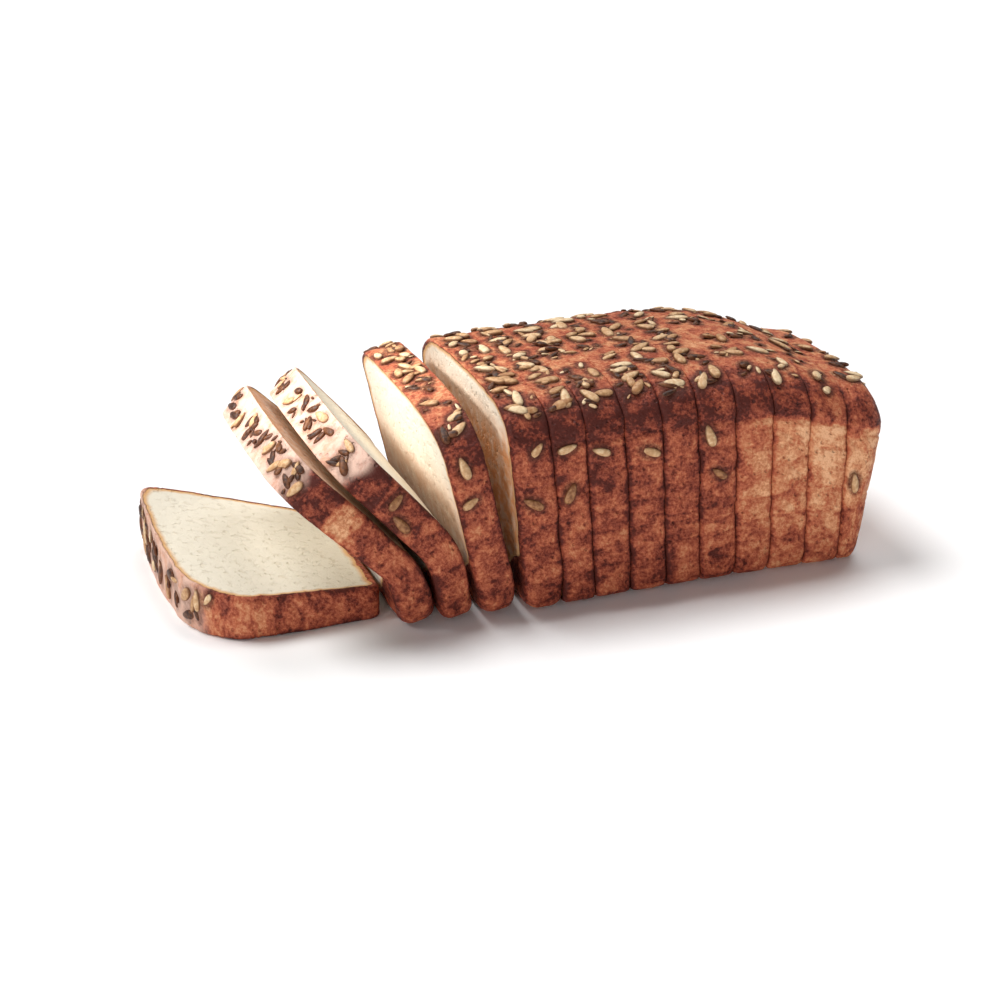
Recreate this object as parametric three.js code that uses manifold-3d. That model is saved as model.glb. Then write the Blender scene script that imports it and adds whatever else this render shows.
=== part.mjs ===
// A seeded tin loaf, sliced. Ten slices still stand in the loaf's shape, three have tipped over
// beside them, and one lies flat under the lowest of the tipped ones.
//
// Millimetres. +X runs along the loaf to its heel, +Y away from the side that faces the viewer,
// +Z up. The origin is the middle of the flat base of the fifth standing slice.
//
// Every slice is drawn in a frame of its own first: t goes through its thickness from the left cut
// face, y across the loaf and h up from the base crust. Then it is stood up, bent or laid down.

import * as THREE from 'three';
import { mergeVertices } from 'three/addons/utils/BufferGeometryUtils.js';
import Module from 'manifold-3d';

// ---- driving dimensions -------------------------------------------------------------------

const STANDING_CUTS = [15.8, 13, 15.2, 14.4, 14.2, 15, 14.6, 14.8, 15.2]; // from one cut to the next
const GAP = 0.4; // between two standing slices at the base
const HEEL_SLICE = STANDING_CUTS.length; // the last one, behind the last cut
const ORIGIN_SLICE = 4; // the fifth standing slice carries the origin
const SLICE = 14.6; // how thick the fallen slices are

const PEAK_HEIGHT = 85.5;
const PEAK_SLICE = 6; // where along the standing slices the loaf is highest
const RISE_FALL = 0.02; // how fast the top falls away to the left, mm per slice squared
const HEEL_FALL = 1.5; // and towards the heel
const FULL_WIDTH = 103;
const WIDEST_SLICE = 4; // from here the slices get narrower towards the heel
const HEEL_NARROWING = 0.4;
const HEEL_DRIFT = 0.8; // mm towards the viewer for each mm of that narrowing
const FIRST_LEAN = 5.8; // degrees, of the leftmost standing slice; the heel stands upright
const UNEVENNESS = 0.6; // how far a slice may be off in height, width and place

const BASE_RADIUS = 4.5; // of the corner between the base crust and a side
const CROWN = 1.2; // how far the middle of the top stands above its shoulders
const CROWN_HALF_WIDTH = 12;
const SIDE_BULGE = 0.9;

// The rounding between the top and a side: how far it reaches across the top and down the side.
const NEAR_SHOULDER = { across: 20, down: 15 };
const FAR_SHOULDER = { across: 27, down: 17 };

// The heel is thickest from `swellHeight` up, and thinner by `drawnIn` at its base. The edge round
// its outer end has the radius `rounding`, and seeds lie on it up to `seeded` from the cut.
const HEEL = { thickness: 19.2, rounding: 12, baseRounding: 3, drawnIn: 9, swellHeight: 56, seeded: 16 };

const SEED = { length: 8.8, width: 4.3, thickness: 2.6, sunk: 0.35, point: 0.28 };
const SEED_SIDES = 5;
const SEED_RINGS = 4;
const SEED_SIZE_SPREAD = 0.14;
const SEED_TILT = 0.16; // radians, the most that a seed tips out of the crust
const SEED_MARGIN = 0.5; // from a seed to the cut faces
const SEED_SPACING_TRIES = 4;

// Round patches of the crust where hardly a seed stuck: x along the loaf, the distance from the
// near corner of the base up and over the crust, and the radius.
const BARE_PATCHES = [
  { x: -50, over: 97, radius: 9 },
  { x: -24, over: 120, radius: 14 },
  { x: 29.5, over: 86, radius: 11 },
  { x: 27, over: 142, radius: 14 },
];
const BARE_SHARE = 0.15; // of the room there that still counts when a spot is chosen

const CRUST_COLOR = '#8f4a2b';
const CRUST_ROUGHNESS = 0.78;

// Slices from left to right. `seeds` is how many lie on the domed top, and `sideSeeds` are the
// few on the side that faces the viewer, each as [share of the thickness, height].
const FALLEN = {
  lying: { height: 72, width: 102, nearRound: 1.7, farRound: 0.5, seeds: 14, sideSeeds: [] },
  tippedLow: { height: 78.2, width: 101, nearRound: 1.1, farRound: 0.8, seeds: 14, sideSeeds: [] },
  tippedHigh: {
    height: 81, width: 101.5, nearRound: 1.1, farRound: 0.8, seeds: 12, sideSeeds: [[0.8, 58], [0.3, 50]],
  },
  tippedUpright: {
    height: 80.5, width: 102, nearRound: 1.2, farRound: 0.7, seeds: 16, sideSeeds: [[0.15, 52], [0.4, 66]],
  },
};

const TOP_SEEDS = [17, 18, 18, 16, 16, 14, 10, 9, 8, 6];
const SIDE_SEEDS = [
  [[0.6, 69], [0.4, 48]],
  [[0.1, 68], [0.35, 50]],
  [[0.15, 65]],
  [[0.6, 62]],
  [],
  [[0.2, 65], [0.5, 49]],
  [],
  [],
  [],
  [[0.3, 36]],
];

// Where the tipped slices meet the table, and how they lean and bend. `low` is the lean from
// upright, towards the left, up to `bendFrom`, and `high` is the lean above the bend, in degrees.
// Each one is squeezed thinner by the share `pinch`, most of all at the height `pinchAt`.
const TIPPED_UPRIGHT = {
  x: -82.2, y: 0, low: 12.5, high: 12.5, bendFrom: 20, bend: 8, pinch: 0, pinchAt: 0, pinchOver: 1,
};
const TIPPED_HIGH = {
  x: -97.6, y: 1, low: 13, high: 41.2, bendFrom: 19, bend: 14, pinch: 0.12, pinchAt: 10, pinchOver: 22,
};
const TIPPED_LOW = {
  x: -113.4, y: 1, low: 15, high: 44.8, bendFrom: 18, bend: 7, pinch: 0.12, pinchAt: 27, pinchOver: 14,
};
const BEND_STEP = 0.5;
const LYING = {
  x: -118, // its base crust
  front: -36, // where its near side lies
  nearThickness: { top: 18.5, base: 13.5 },
  farThickness: { top: 25, base: 11.5 },
  taper: 27, // how much narrower it is at the base crust than under the dome
};

// ---- small helpers ------------------------------------------------------------------------

const radians = (degrees) => (degrees * Math.PI) / 180;
const lerp = (a, b, share) => a + (b - a) * share;

function seededRandom(seed) {
  let state = seed;
  return () => {
    state = (Math.imul(state, 1664525) + 1013904223) >>> 0;
    return state / 4294967296;
  };
}

function meshGeometry(vertices, triangles) {
  const geometry = new THREE.BufferGeometry();
  geometry.setAttribute('position', new THREE.Float32BufferAttribute(vertices, 3));
  geometry.setIndex(triangles);
  return geometry;
}

// ---- the outline of a slice ----------------------------------------------------------------

const BASE_DEGREES = [0, 30, 60];
const SIDE_SHARES = [0, 0.2, 0.4, 0.6, 0.8];
const SHOULDER_DEGREES = [0, 22, 42, 60, 76, 90];
const SEEDED_ROW = BASE_DEGREES.length + SIDE_SHARES.length + 2; // seeds lie above this row

// Rows from the base crust up to the crown. Each row has its height and where the outline crosses
// it on the near side (front, negative) and on the far side (back).
function outlineRows({ width, height, nearRound = 1, farRound = 1 }) {
  const nearShoulder = scaled(NEAR_SHOULDER, nearRound);
  const farShoulder = scaled(FAR_SHOULDER, farRound);
  const shoulderDown = Math.max(nearShoulder.down, farShoulder.down);
  const sideTop = height - shoulderDown;
  const heights = [
    ...BASE_DEGREES.map((degrees) => BASE_RADIUS * (1 - Math.cos(radians(degrees)))),
    ...SIDE_SHARES.map((share) => lerp(BASE_RADIUS, sideTop, share)),
    ...SHOULDER_DEGREES.map((degrees) => sideTop + shoulderDown * Math.sin(radians(degrees))),
  ];
  const rows = heights.map((h) => ({
    h,
    front: -reach(h, width, height, nearShoulder),
    back: reach(h, width, height, farShoulder),
  }));
  rows.push({ h: height + CROWN, front: -CROWN_HALF_WIDTH, back: CROWN_HALF_WIDTH });
  return rows;
}

const scaled = (shoulder, by) => ({ across: shoulder.across * by, down: shoulder.down * by });
const quarterRound = (share) => 1 - Math.sqrt(1 - share * share);

// How far the outline stands from the middle of the slice at height h.
function reach(h, width, height, shoulder) {
  const baseShare = Math.max(0, 1 - h / BASE_RADIUS);
  const shoulderShare = Math.max(0, 1 - (height - h) / shoulder.down);
  const bulge = SIDE_BULGE * Math.sin(Math.PI * (h / height));
  return width / 2 + bulge - BASE_RADIUS * quarterRound(baseShare)
    - shoulder.across * quarterRound(shoulderShare);
}

// The crust line of a slice as one path, up the near side, over the top and down the far side.
function crustPath(rows) {
  const near = rows.map((row) => new THREE.Vector2(row.front, row.h));
  const far = rows.map((row) => new THREE.Vector2(row.back, row.h)).reverse();
  const points = [...near, ...far];
  const lengths = [0];
  for (let i = 1; i < points.length; i += 1) {
    lengths.push(lengths[i - 1] + points[i].distanceTo(points[i - 1]));
  }
  return { points, lengths, total: lengths[lengths.length - 1] };
}

function crustSpot(path, distance) {
  let i = 1;
  while (i < path.points.length - 1 && path.lengths[i] < distance) {
    i += 1;
  }
  const from = path.points[i - 1];
  const to = path.points[i];
  const share = (distance - path.lengths[i - 1]) / (path.lengths[i] - path.lengths[i - 1]);
  const along = to.clone().sub(from).normalize();
  return {
    y: lerp(from.x, to.x, share),
    h: lerp(from.y, to.y, share),
    along, // over the loaf, from the near side to the far side
    out: new THREE.Vector2(-along.y, along.x), // out of the crust
  };
}

// ---- the body of a slice ------------------------------------------------------------------

// Stations run through the thickness, and the outline may be drawn in at each of them.
const heelStations = [0, ...[0, 25, 45, 62, 78].map(
  (degrees) => HEEL.thickness - HEEL.rounding * (1 - Math.sin(radians(degrees))),
)];

const noInset = () => 0;

function heelInset(t) {
  const share = Math.max(0, 1 - (HEEL.thickness - t) / HEEL.rounding);
  return HEEL.rounding * quarterRound(share);
}

function insetRows(rows, inset) {
  const top = rows[rows.length - 1].h;
  const drawnIn = (side) => Math.sign(side) * Math.max(Math.abs(side) - inset, 1);
  return rows.map((row) => {
    const lift = Math.min(inset, HEEL.baseRounding) * (1 - row.h / top);
    const drop = inset * (row.h / top);
    return { h: row.h + lift - drop, front: drawnIn(row.front), back: drawnIn(row.back) };
  });
}

function sliceBody(rows, stations, insetAt, place) {
  const vertices = [];
  const triangles = [];
  const quad = (a, b, c, d) => triangles.push(a, b, c, a, c, d);
  for (const t of stations) {
    for (const { h, front, back } of insetRows(rows, insetAt(t))) {
      vertices.push(...place(t, front, h), ...place(t, back, h));
    }
  }
  const near = (station, row) => 2 * (station * rows.length + row);
  const far = (station, row) => near(station, row) + 1;
  const last = stations.length - 1;
  const lastRow = rows.length - 1;
  for (let row = 0; row < lastRow; row += 1) {
    quad(near(0, row), near(0, row + 1), far(0, row + 1), far(0, row));
    quad(near(last, row), far(last, row), far(last, row + 1), near(last, row + 1));
  }
  for (let s = 0; s < last; s += 1) {
    for (let row = 0; row < lastRow; row += 1) {
      quad(near(s, row), near(s + 1, row), near(s + 1, row + 1), near(s, row + 1));
      quad(far(s, row), far(s, row + 1), far(s + 1, row + 1), far(s + 1, row));
    }
    quad(near(s, 0), far(s, 0), far(s + 1, 0), near(s + 1, 0));
    quad(near(s, lastRow), near(s + 1, lastRow), far(s + 1, lastRow), far(s, lastRow));
  }
  return meshGeometry(vertices, triangles);
}

// ---- ways to place a slice -----------------------------------------------------------------

// Towards each cut, a standing slice takes on the size and place half-way between its own and its
// neighbour's, so that the crusts of the two meet there.
function meeting(own, left, right, thickness) {
  const middle = (shape) => shape.y;
  const width = (shape) => shape.width;
  const top = (shape) => shape.height + CROWN;
  const between = (size, share) => lerp(size(own) + size(left), size(own) + size(right), share) / 2;
  return (t, across, h) => {
    const share = t / thickness;
    return {
      y: between(middle, share) + across * (between(width, share) / width(own)),
      z: h * (between(top, share) / top(own)),
    };
  };
}

// A standing slice keeps its base flat and leans over it.
function standing(x, lean, meet) {
  const slope = Math.tan(radians(lean));
  return (t, across, h) => {
    const { y, z } = meet(t, across, h);
    return [x + t - slope * z, y, z];
  };
}

function swollenHeel(x, meet) {
  return (t, across, h) => {
    const { y, z } = meet(t, across, h);
    const swollen = Math.min(1, h / HEEL.swellHeight);
    return [x + t - HEEL.drawnIn * (t / HEEL.thickness) * (1 - swollen), y, z];
  };
}

// A tipped slice bends over an arc of length `bend`. The left cut face is the inner side of it.
function tipped({ x, y, low, high, bendFrom, bend, pinch, pinchAt, pinchOver }) {
  const lean = (h) => radians(lerp(low, high, Math.min(1, Math.max(0, (h - bendFrom) / bend))));
  const squeezed = (h) => 1 - pinch * Math.exp(-(((h - pinchAt) / pinchOver) ** 2));
  return (t, across, h) => {
    let left = x;
    let up = 0;
    for (let from = 0; from < h; from += BEND_STEP) {
      const length = Math.min(BEND_STEP, h - from);
      const angle = lean(from + length / 2);
      left -= Math.sin(angle) * length;
      up += Math.cos(angle) * length;
    }
    const through = t * squeezed(h);
    return [left + through * Math.cos(lean(h)), y + across, up + through * Math.sin(lean(h))];
  };
}

// The lying slice has its dome to the left and its right cut face up. It is thinner and narrower
// towards its base crust, which the next slice presses down.
function lying(width) {
  return (t, across, h) => {
    const upwards = h / FALLEN.lying.height;
    const farShare = across / width + 0.5;
    const near = lerp(LYING.nearThickness.base, LYING.nearThickness.top, upwards);
    const far = lerp(LYING.farThickness.base, LYING.farThickness.top, upwards);
    const here = width - LYING.taper * (1 - Math.min(1, upwards));
    const z = (t / SLICE) * lerp(near, far, farShare);
    return [LYING.x - h, LYING.front + farShare * here, z];
  };
}

// ---- seeds ----------------------------------------------------------------------------------

const wasm = await Module();
wasm.setup();

function toManifold(geometry) {
  const plain = geometry.clone();
  plain.deleteAttribute('normal');
  plain.deleteAttribute('uv');
  const merged = mergeVertices(plain, 1e-5);
  return new wasm.Manifold(new wasm.Mesh({
    numProp: 3,
    vertProperties: new Float32Array(merged.attributes.position.array),
    triVerts: new Uint32Array(merged.index.array),
  }));
}

function fromManifold(solid) {
  const mesh = solid.getMesh();
  const geometry = meshGeometry(Array.from(mesh.vertProperties), Array.from(mesh.triVerts));
  geometry.computeVertexNormals();
  return geometry;
}

// A sunflower kernel: longer than wide, flattened, and pointed at one end.
function seedGeometry(size) {
  const geometry = new THREE.SphereGeometry(1, SEED_SIDES, SEED_RINGS);
  const position = geometry.attributes.position;
  for (let i = 0; i < position.count; i += 1) {
    const along = position.getY(i);
    const narrow = 1 - SEED.point * along;
    position.setXYZ(
      i,
      (position.getX(i) * narrow * SEED.width * size) / 2,
      (along * SEED.length * size) / 2,
      (position.getZ(i) * narrow * SEED.thickness * size) / 2,
    );
  }
  return geometry;
}

const isBare = (x, over) => (
  BARE_PATCHES.some((patch) => Math.hypot(x - patch.x, over - patch.over) < patch.radius)
);

// Spots for the seeds in the slice's own frame: t, and the distance along the crust.
function sow(path, x, thickness, count, sideSeeds, random) {
  const seedStart = path.lengths[SEEDED_ROW];
  const spots = sideSeeds.map(([share, height]) => ({ t: share * thickness, distance: height }));
  for (let n = 0; n < count; n += 1) {
    let best = null;
    for (let attempt = 0; attempt < SEED_SPACING_TRIES; attempt += 1) {
      const t = thickness * random();
      const distance = lerp(seedStart, path.total - seedStart, random());
      const share = isBare(x + t, distance) ? BARE_SHARE : 1;
      const room = share * Math.min(...spots.map((s) => Math.hypot(s.t - t, s.distance - distance)), 99);
      if (!best || room > best.room) {
        best = { t, distance, room };
      }
    }
    spots.push(best);
  }
  return spots.map((spot) => ({
    ...spot,
    turn: random() * Math.PI,
    tilt: (random() * 2 - 1) * SEED_TILT,
    size: 1 + (random() * 2 - 1) * SEED_SIZE_SPREAD,
  }));
}

function placedSeed(spot, rows, thickness, insetAt, place) {
  const halfSpan = (SEED.length * Math.abs(Math.cos(spot.turn)) + SEED.width * Math.abs(Math.sin(spot.turn))) / 2;
  const margin = halfSpan * spot.size + SEED_MARGIN;
  const t = Math.min(Math.max(spot.t, margin), thickness - margin);
  const { y, h, along, out } = crustSpot(crustPath(insetRows(rows, insetAt(t))), spot.distance);
  const depth = SEED.thickness * (0.5 - SEED.sunk);
  const basis = new THREE.Matrix4().makeBasis(
    new THREE.Vector3(1, 0, 0),
    new THREE.Vector3(0, along.x, along.y),
    new THREE.Vector3(0, out.x, out.y),
  );
  const turn = new THREE.Matrix4().makeRotationZ(spot.turn - Math.PI / 2);
  const tilt = new THREE.Matrix4().makeRotationX(spot.tilt);
  const middle = new THREE.Vector3(t, y + out.x * depth, h + out.y * depth);
  const geometry = seedGeometry(spot.size);
  geometry.applyMatrix4(basis.multiply(turn).multiply(tilt)).translate(middle.x, middle.y, middle.z);
  const position = geometry.attributes.position;
  for (let i = 0; i < position.count; i += 1) {
    position.setXYZ(i, ...place(position.getX(i), position.getY(i), position.getZ(i)));
  }
  return geometry;
}

// ---- the slices -----------------------------------------------------------------------------

function slice(number, x, { seeds, sideSeeds, stations, insetAt, seeded, place, ...outline }) {
  const rows = outlineRows(outline);
  const random = seededRandom(number * 7919);
  let solid = toManifold(sliceBody(rows, stations, insetAt, place));
  for (const spot of sow(crustPath(rows), x, seeded, seeds, sideSeeds, random)) {
    solid = solid.add(toManifold(placedSeed(spot, rows, seeded, insetAt, place)));
  }
  const material = new THREE.MeshStandardMaterial({ color: CRUST_COLOR, roughness: CRUST_ROUGHNESS });
  const mesh = new THREE.Mesh(fromManifold(solid), material);
  mesh.name = `slice_${String(number).padStart(2, '0')}`;
  return mesh;
}

const cut = (thickness) => ({ stations: [0, thickness], insetAt: noInset, seeded: thickness });
const heel = { stations: heelStations, insetAt: heelInset, seeded: HEEL.seeded };

function fallenSlices() {
  const { lying: flat, tippedLow, tippedHigh, tippedUpright } = FALLEN;
  return [
    slice(1, LYING.x, { ...flat, ...cut(SLICE), place: lying(flat.width) }),
    slice(2, TIPPED_LOW.x, { ...tippedLow, ...cut(SLICE), place: tipped(TIPPED_LOW) }),
    slice(3, TIPPED_HIGH.x, { ...tippedHigh, ...cut(SLICE), place: tipped(TIPPED_HIGH) }),
    slice(4, TIPPED_UPRIGHT.x, { ...tippedUpright, ...cut(SLICE), place: tipped(TIPPED_UPRIGHT) }),
  ];
}

// The width, height and place across of every standing slice, from left to right.
function standingShapes() {
  const random = seededRandom(20);
  const uneven = () => (random() * 2 - 1) * UNEVENNESS;
  return TOP_SEEDS.map((_, i) => {
    const fall = (i < PEAK_SLICE ? RISE_FALL : HEEL_FALL) * (i - PEAK_SLICE) ** 2;
    const narrowing = HEEL_NARROWING * Math.max(0, i - WIDEST_SLICE) ** 2;
    return {
      y: i === ORIGIN_SLICE ? 0 : uneven() - HEEL_DRIFT * narrowing,
      width: FULL_WIDTH - narrowing + uneven(),
      height: PEAK_HEIGHT - CROWN - fall + uneven(),
    };
  });
}

function standingSlices() {
  const shapes = standingShapes();
  const slices = [];
  let x = (GAP - STANDING_CUTS[ORIGIN_SLICE]) / 2;
  for (let i = 0; i < ORIGIN_SLICE; i += 1) {
    x -= STANDING_CUTS[i];
  }
  for (let i = 0; i <= HEEL_SLICE; i += 1) {
    const isHeel = i === HEEL_SLICE;
    const own = shapes[i];
    const thickness = isHeel ? HEEL.thickness : STANDING_CUTS[i] - GAP;
    const meet = meeting(own, shapes[i - 1] ?? own, shapes[i + 1] ?? own, thickness);
    const lean = FIRST_LEAN * (1 - i / HEEL_SLICE) ** 0.9;
    slices.push(slice(5 + i, x, {
      width: own.width,
      height: own.height,
      seeds: TOP_SEEDS[i],
      sideSeeds: SIDE_SEEDS[i],
      ...(isHeel ? heel : cut(thickness)),
      place: isHeel ? swollenHeel(x, meet) : standing(x, lean, meet),
    }));
    x += STANDING_CUTS[i];
  }
  return slices;
}

const loaf = new THREE.Group();
loaf.add(...fallenSlices(), ...standingSlices());

export default loaf;
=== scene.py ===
"""A seeded tin loaf, sliced. Ten slices stand in the loaf's shape, three have tipped over beside
them, and one lies flat.

The dimensions are in millimetres and become metres where a mesh is made. +X runs along the loaf
to its heel, +Y away from the side that faces the viewer, +Z up. The origin is the middle of the
base of the fifth standing slice.

Every slice is drawn in a frame of its own first: t goes through its thickness from the left cut
face, y across the loaf and h up from the base crust. Then it is stood up, bent or laid down.
"""

import math
import random

import bpy
import numpy as np
from mathutils import Matrix, Vector, noise
from mathutils.geometry import delaunay_2d_cdt


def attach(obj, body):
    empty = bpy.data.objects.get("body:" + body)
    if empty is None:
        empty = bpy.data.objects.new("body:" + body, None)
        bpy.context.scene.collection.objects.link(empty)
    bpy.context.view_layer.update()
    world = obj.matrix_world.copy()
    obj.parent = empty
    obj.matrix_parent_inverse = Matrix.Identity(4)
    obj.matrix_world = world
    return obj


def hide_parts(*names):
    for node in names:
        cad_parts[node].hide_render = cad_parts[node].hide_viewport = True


MM = 0.001

# ---- the loaf ----

STANDING_CUTS = [15.8, 13, 15.2, 14.4, 14.2, 15, 14.6, 14.8, 15.2]  # from one cut to the next
GAP = 0.4  # between two standing slices at the base
HEEL_SLICE = len(STANDING_CUTS)  # behind the last cut
ORIGIN_SLICE = 4  # the fifth standing slice carries the origin
SLICE = 14.6  # how thick the fallen slices are

PEAK_HEIGHT = 85.5
PEAK_SLICE = 6  # where along the standing slices the loaf is highest
RISE_FALL = 0.02  # how fast the top falls away to the left, mm per slice squared
HEEL_FALL = 1.5  # and towards the heel
FULL_WIDTH = 103
WIDEST_SLICE = 4  # from here the slices get narrower towards the heel
HEEL_NARROWING = 0.4
HEEL_DRIFT = 0.8  # mm towards the viewer for each mm of that narrowing
FIRST_LEAN = 5.8  # degrees, of the leftmost standing slice; the heel stands upright
LEAN_POWER = 0.9  # how the lean dies out from one slice to the next
UNEVENNESS = 0.6  # how far a slice may be off in height, width and place
UNEVENNESS_SEED = 20

BASE_RADIUS = 4.5  # of the corner between the base crust and a side
CROWN = 1.2  # how far the middle of the top stands above its shoulders
CROWN_POWER = 2.5  # the higher, the flatter the middle of the crown
SIDE_BULGE = 0.9
# The rounding between the top and a side: how far it reaches across the top and down the side.
NEAR_SHOULDER = {"across": 20, "down": 15}
FAR_SHOULDER = {"across": 27, "down": 17}

# The heel is thickest from `swell_height` up, and thinner by `drawn_in` at its base. The edge
# round its outer end has the radius `rounding`, and seeds lie on it up to `seeded` from the cut.
HEEL = {
    "thickness": 19.2, "rounding": 12, "base_rounding": 3, "drawn_in": 9, "swell_height": 56,
    "seeded": 16,
}
HEEL_MIDDLE = 26  # mm from the middle of the heel, from where its outline shrinks in full

SEED = {"length": 8.8, "width": 4.3, "thickness": 2.6, "sunk": 0.35, "point": 0.28}
SEED_SIZE_SPREAD = 0.14
SEED_SLIMNESS = 0.84
SEED_TILT = 0.16  # radians, the most that a large seed tips out of the crust
SEED_MARGIN = 0.5  # from a seed to the cut faces
SEED_SPACING_TRIES = 4
FIRST_SEED_ROOM = 99
SOWING_SEED = 7919  # times the slice's number
# Hardly a seed stuck here: x along the loaf, the distance up and over the crust, and the radius.
BARE_PATCHES = [(-50, 97, 9), (-24, 120, 14), (29.5, 86, 11), (27, 142, 14)]
BARE_SHARE = 0.15  # of the room there that still counts when a spot is chosen
SEEDED_FROM = 42  # degrees up the shoulder, where the seeds begin
SMALL_SEED_SHARE = 2.2  # small seeds for each large one
SMALL_SEED_SIZES = [0.25, 0.8]  # next to a large one
SMALL_SEED_SLIMNESS = [0.6, 1.0]
SMALL_SEED_TILT = 0.32
SEED_MESH = (12, 9)  # sides and rings
SMALL_SEED_MESH = (8, 7)
SEED_FOLD = {"depth": 0.12, "width": 0.3}  # along the middle of a seed
SEED_SHADE = 2  # mm around a seed, where the crust is darkened with painted shade
FULL_SHADE = 0.6  # of the way out to the end of that shade, where it is darkest

# The tones of the seeds go from 0, burnt, to 1, pale.
SEED_TONES = {"burnt_share": 0.18, "light": [0.45, 1]}
PALE_SLICE_TONES = {"burnt_share": 0.65, "burnt": 0.3, "light": 0.72}
SIDE_SEED_TONES = [0.35, 0.8]
BURNT_SMALL_SEEDS = {"share": 0.4, "tone": 0.05}
BURNT_BELOW = 0.3  # a seed of a lower tone has shrunk like a burnt one
SHRUNK = {"burnt": 0.8, "light": 0.92}  # in the oven

# The fallen slices from left to right. `seeds` is how many lie on the domed top, and `side_seeds`
# are the few on the side that faces the viewer, each as [share of the thickness, height].
FALLEN = [
    {"height": 72, "width": 102, "near_round": 1.7, "far_round": 0.5, "seeds": 14},
    {"height": 78.2, "width": 101, "near_round": 1.1, "far_round": 0.8, "seeds": 14},
    {
        "height": 81, "width": 101.5, "near_round": 1.1, "far_round": 0.8, "seeds": 12,
        "side_seeds": [[0.8, 58], [0.3, 50]],
    },
    {
        "height": 80.5, "width": 102, "near_round": 1.2, "far_round": 0.7, "seeds": 16,
        "side_seeds": [[0.15, 52], [0.4, 66]],
    },
]
TOP_SEEDS = [17, 18, 18, 16, 16, 14, 10, 9, 8, 6]
SIDE_SEEDS = [
    [[0.6, 69], [0.4, 48]], [[0.1, 68], [0.35, 50]], [[0.15, 65]], [[0.6, 62]], [],
    [[0.2, 65], [0.5, 49]], [], [], [], [[0.3, 36]],
]

# Where the tipped slices meet the table, and how they lean and bend. `low` is the lean from
# upright, towards the left, up to `bend_from`, and `high` is the lean above the bend, in degrees.
# Each one is squeezed thinner by the share `pinch`, most of all at the height `pinch_at`.
TIPPED = [
    {
        "x": -113.4, "y": 1, "low": 15, "high": 44.8, "bend_from": 18, "bend": 7,
        "pinch": 0.12, "pinch_at": 27, "pinch_over": 14,
    },
    {
        "x": -97.6, "y": 1, "low": 13, "high": 41.2, "bend_from": 19, "bend": 14,
        "pinch": 0.12, "pinch_at": 10, "pinch_over": 22,
    },
    {
        "x": -82.2, "y": 0, "low": 12.5, "high": 12.5, "bend_from": 20, "bend": 8,
        "pinch": 0, "pinch_at": 0, "pinch_over": 1,
    },
]
# The lying slice: where its base crust and its near side lie, how much narrower it is at the base
# crust than under the dome, and how thick it is at four places.
LYING = {
    "x": -118, "front": -36, "taper": 27,
    "near_top": 18.5, "near_base": 13.5, "far_top": 25, "far_base": 11.5,
}

# ---- how finely it is drawn ----

CORNER_POINTS = 40  # round a corner of the plain outline, before it is divided evenly
SIDE_POINTS = 60  # along a side or the top of it
CRUST_STEP = 1.0  # along the outline
EASED_OVER = 9  # steps each way, over which the direction out of the crust is eased
STATION_STEP = 0.9  # through the thickness
EDGE_STATIONS = np.array([0, 0.12, 0.35, 0.75, 1.3])  # closer together near a cut
HEEL_STATIONS = 22  # round the rounding of the heel
HEEL_TURN = 84  # degrees that they cover
CRUMB_STEP = 1.05
ROW_STEP = 0.87  # of that, between two rows of a triangular grid
CRUMB_JITTER = 0.2
CRUMB_CLEARANCE = 0.7  # of that step, kept free inside the innermost ring
RINGS = [0.7, 1.6]  # rows of points round a cut face, inside its edge
BEND_STEP = 0.25
BEND_REACH = 100  # how far up the bend of a tipped slice is worked out

# Layers of smooth bumps, each as its height, the length of its bumps and the shift of its noise.
KNIFE_STRAYED = [(0.55, 13, 0.0), (0.275, 4.5, 8.8)]
KNIFE_WAVES = [(0.35, 24, 0.0), (0.14, 3.2, 5.5)]
CRUST_LUMPS = [(0.5, 17, 0.0), (0.3, 6.5, 7.3), (0.16, 2.6, 3.1)]
CUT_SWELL = 0.18  # how far the crumb swells out of a cut between two standing slices
CUT_SPACING = 40.0  # in the noise, between one cut and the next

# ---- small helpers ----


def lerp(a, b, share):
    return a + (b - a) * share


def smooth(low, high, value):
    """0 below `low`, 1 above `high`, and a soft step between them."""
    share = np.clip((np.asarray(value, float) - low) / (high - low), 0, 1)
    return share * share * (3 - 2 * share)


def seeded_random(seed):
    state = seed

    def draw():
        nonlocal state
        state = (state * 1664525 + 1013904223) % 4294967296
        return state / 4294967296

    return draw


def ripple(points, size, shift=0.0):
    """Smooth noise between about -0.8 and 0.8 whose bumps are `size` long."""
    scaled = (np.asarray(points, float) / size + shift).tolist()
    return np.array([noise.noise(p) for p in scaled])


def layered(points, layers):
    return sum(height * ripple(points, size, shift) for height, size, shift in layers)


def quarter_round(distance):
    """What a rounding of radius 1 takes off, at a distance from its end."""
    share = np.maximum(0, 1 - distance)
    return 1 - np.sqrt(np.maximum(0, 1 - share * share))


# ---- the outline of a slice ----


def reach(h, width, height, shoulder):
    """How far the outline stands from the middle of the slice at height h."""
    bulge = SIDE_BULGE * np.sin(math.pi * (h / height))
    return (
        width / 2 + bulge - BASE_RADIUS * quarter_round(h / BASE_RADIUS)
        - shoulder["across"] * quarter_round((height - h) / shoulder["down"])
    )


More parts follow.
